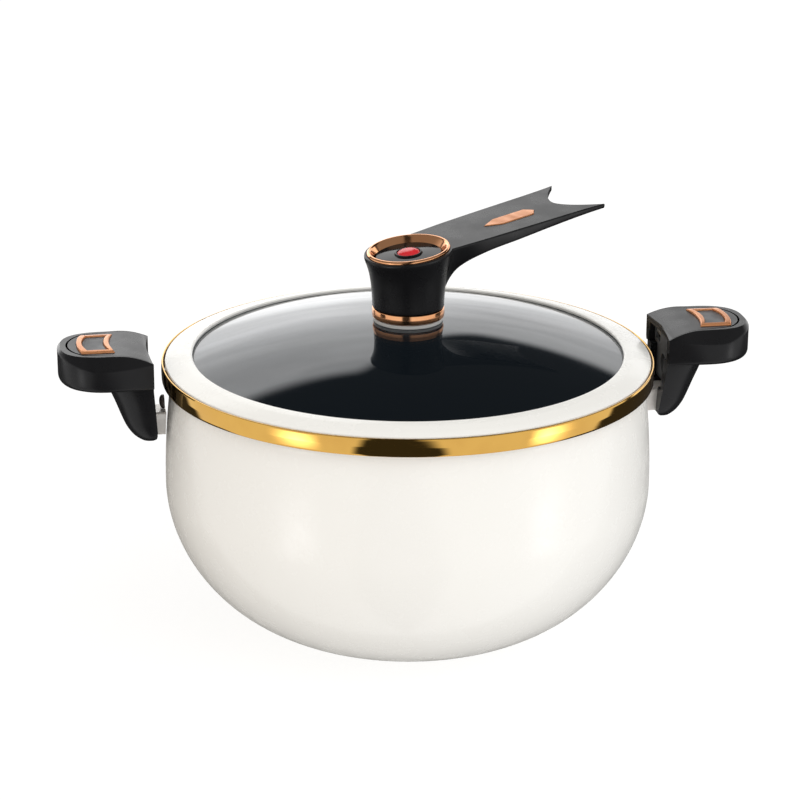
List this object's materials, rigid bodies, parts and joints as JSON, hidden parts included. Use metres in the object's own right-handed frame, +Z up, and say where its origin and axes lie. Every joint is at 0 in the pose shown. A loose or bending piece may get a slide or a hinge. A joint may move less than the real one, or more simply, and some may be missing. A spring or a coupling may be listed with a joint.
{
  "type": "pressure canner",
  "caption": "Round-bellied enamelled pressure pot with a dark glass lid, a vented knob with a forked rest arm, and side handles with sliding latches.",
  "frame": {"origin": "centre of the pot's flat base, on the surface it stands on", "axes": "+X runs out through one side handle, +Z is up, and +Y points away from the side that the rest arm leans off; the arm points 25.5 degrees from +X towards +Y"},
  "size_m": [0.4108, 0.2908, 0.2461],
  "materials": {
    "cream_enamel": "gloss enamel on the pot and the lid's ring",
    "gold_steel": "polished gold-coloured edge band",
    "rose_gold": "polished rose-gold trim",
    "stainless_steel": "brushed",
    "bracket_steel": "satin, pale",
    "black_phenolic": "fine matt grain with a satin sheen",
    "grey_nylon": "matt",
    "gloss_black": "high gloss",
    "red_button": "gloss",
    "smoked_glass": "clear polish, dark tint",
    "grey_silicone": "matt silicone",
    "brown_rubber": "matt"
  },
  "bodies": {
    "pot": {"pot_body": "cream_enamel", "base_plate": "stainless_steel", "bracket_left": "bracket_steel", "handle_left": "black_phenolic", "handle_insert_left": "grey_nylon", "handle_screw_left": "stainless_steel", "rim_buffer_left": "brown_rubber", "bracket_right": "bracket_steel", "handle_right": "black_phenolic", "handle_insert_right": "grey_nylon", "handle_screw_right": "stainless_steel", "rim_buffer_right": "brown_rubber"},
    "lid": {"lid_frame": "cream_enamel", "lid_band": "gold_steel", "lid_gasket": "grey_silicone", "glass_dome": "smoked_glass", "glass_seal": "grey_silicone", "upper_washer": "grey_silicone", "knob_collar": "rose_gold", "knob_handle": "black_phenolic", "knob_bezel": "rose_gold", "arm_inlay": "rose_gold", "valve_tube": "stainless_steel", "valve_nut": "stainless_steel", "lower_washer": "grey_silicone", "valve_guard": "stainless_steel", "vent_spring": "stainless_steel"},
    "vent_button": {"vent_cap": "gloss_black", "vent_stem": "stainless_steel", "vent_plug": "grey_silicone"},
    "indicator": {"pressure_indicator": "red_button"},
    "latch_left": {"latch_cover_left": "black_phenolic", "latch_trim_left": "rose_gold", "latch_pad_left": "grey_nylon", "latch_tongue_left": "stainless_steel", "latch_screw_left": "stainless_steel"},
    "latch_right": {"latch_cover_right": "black_phenolic", "latch_trim_right": "rose_gold", "latch_pad_right": "grey_nylon", "latch_tongue_right": "stainless_steel", "latch_screw_right": "stainless_steel"}
  },
  "joints": [
    {"name": "lid_lift", "type": "slide", "parent": "pot", "child": "lid", "axis": [0, 0, 1], "range_m": [0, 0.15]},
    {"name": "latch_left_slide", "type": "slide", "parent": "pot", "child": "latch_left", "axis": [1, 0, 0], "range_m": [0, 0.013]},
    {"name": "latch_right_slide", "type": "slide", "parent": "pot", "child": "latch_right", "axis": [-1, 0, 0], "range_m": [0, 0.013]},
    {"name": "vent_press", "type": "slide", "parent": "lid", "child": "vent_button", "axis": [0, 0, -1], "range_m": [0, 0.003], "stiffness_N_per_m": 800, "springref_m": -0.004, "deforming": ["vent_spring"]},
    {"name": "indicator_rise", "type": "slide", "parent": "vent_button", "child": "indicator", "axis": [0, 0, 1], "range_m": [0, 0.003]}
  ]
}
